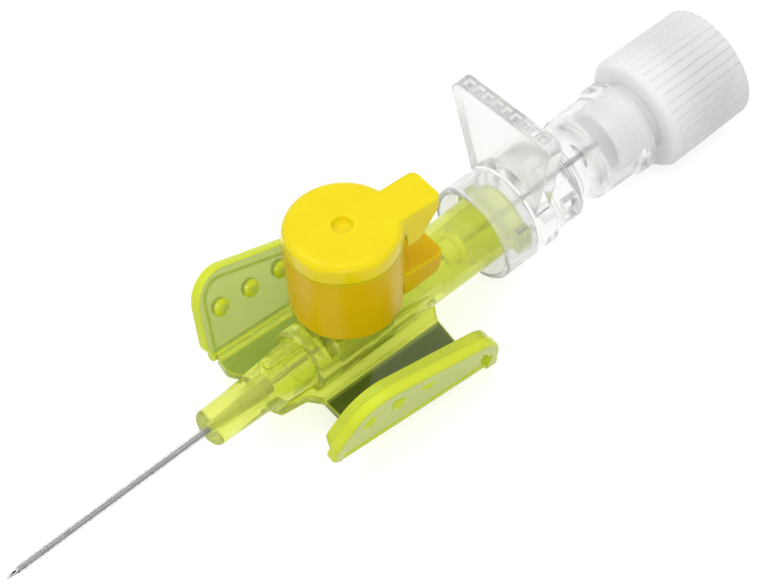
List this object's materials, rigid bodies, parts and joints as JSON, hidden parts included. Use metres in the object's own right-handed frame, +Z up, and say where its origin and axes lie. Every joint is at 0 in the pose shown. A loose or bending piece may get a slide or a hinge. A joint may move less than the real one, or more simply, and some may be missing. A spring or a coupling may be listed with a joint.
{
  "type": "iv cannula",
  "caption": "Intravenous cannula with fold-down wings, a capped side port, a steel needle in its catheter, a thumb fin and a vented flash chamber plug.",
  "frame": {"origin": "middle of the footprint, on the surface that the cannula lies on", "axes": "+X along the needle from its tip to the plug, +Y to the left wing, +Z up through the side port"},
  "size_m": [0.0728, 0.0194, 0.0162],
  "materials": {
    "hub_plastic": "gloss",
    "catheter_plastic": "gloss",
    "steel": "polished",
    "valve_rubber": "satin",
    "cap_ring_plastic": "gloss",
    "cap_plastic": "gloss",
    "bush_plastic": "gloss",
    "clear_plastic": "gloss",
    "plug_plastic": "satin",
    "filter_plastic": "matte"
  },
  "bodies": {
    "hub": {"catheter_hub": "hub_plastic", "catheter_tube": "catheter_plastic", "ferrule": "steel", "port_valve": "valve_rubber"},
    "left_wing": {"left_wing": "hub_plastic"},
    "right_wing": {"right_wing": "hub_plastic"},
    "cap_ring": {"port_cap_ring": "cap_ring_plastic"},
    "cap_lid": {"port_cap_lid": "cap_plastic"},
    "needle": {"needle_tube": "steel", "needle_bush": "bush_plastic", "needle_holder": "clear_plastic"},
    "plug": {"luer_plug": "plug_plastic", "vent_filter": "filter_plastic"}
  },
  "joints": [
    {"name": "left_wing_fold", "type": "hinge", "parent": "hub", "child": "left_wing", "pos_m": [-0.00134, 0.007, 0.00118], "axis": [0.9954, 0, -0.0958], "range_deg": [-72.5, 16]},
    {"name": "right_wing_fold", "type": "hinge", "parent": "hub", "child": "right_wing", "pos_m": [-0.00134, -0.007, 0.00118], "axis": [-0.9954, 0, 0.0958], "range_deg": [-72.5, 16]},
    {"name": "cap_swivel", "type": "hinge", "parent": "hub", "child": "cap_ring", "pos_m": [-0.00155, 0, 0.00795], "axis": [0, 0, 1], "continuous": true},
    {"name": "lid_hinge", "type": "hinge", "parent": "cap_ring", "child": "cap_lid", "pos_m": [-0.00613, 0.0004, 0.01445], "axis": [-0.0872, -0.9962, 0], "range_deg": [0, 110]},
    {"name": "needle_slide", "type": "slide", "parent": "hub", "child": "needle", "axis": [1, 0, 0], "range_m": [0, 0.055]},
    {"name": "plug_slide", "type": "slide", "parent": "needle", "child": "plug", "axis": [1, 0, 0], "range_m": [0, 0.012]}
  ]
}
